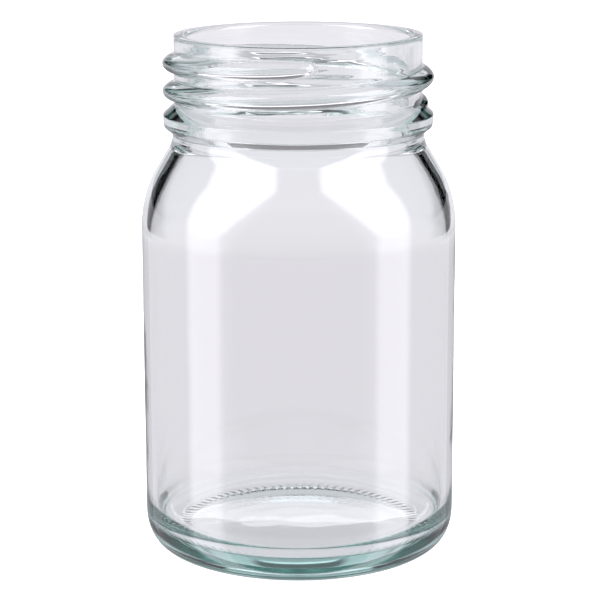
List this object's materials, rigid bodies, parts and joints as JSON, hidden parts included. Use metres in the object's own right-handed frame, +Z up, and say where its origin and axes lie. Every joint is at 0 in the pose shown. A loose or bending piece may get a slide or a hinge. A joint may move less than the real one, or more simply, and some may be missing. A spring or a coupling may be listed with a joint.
{
  "type": "screw-top storage jar",
  "caption": "Clear glass storage jar, open at the mouth, with a screw thread and a bead on its neck, rounded shoulders, a straight round body and a hollowed base.",
  "frame": {"origin": "on the jar's axis, in the plane of the flat ring that it rests on", "axes": "+Z up the jar's axis, out of its mouth; -Y towards the side where the upper end of the thread is"},
  "size_m": [0.08, 0.08, 0.1325],
  "materials": {
    "glass": "clear, fire-polished, with a faint green tint in thick sections"
  },
  "bodies": {
    "root": {"jar": "glass"}
  },
  "joints": []
}
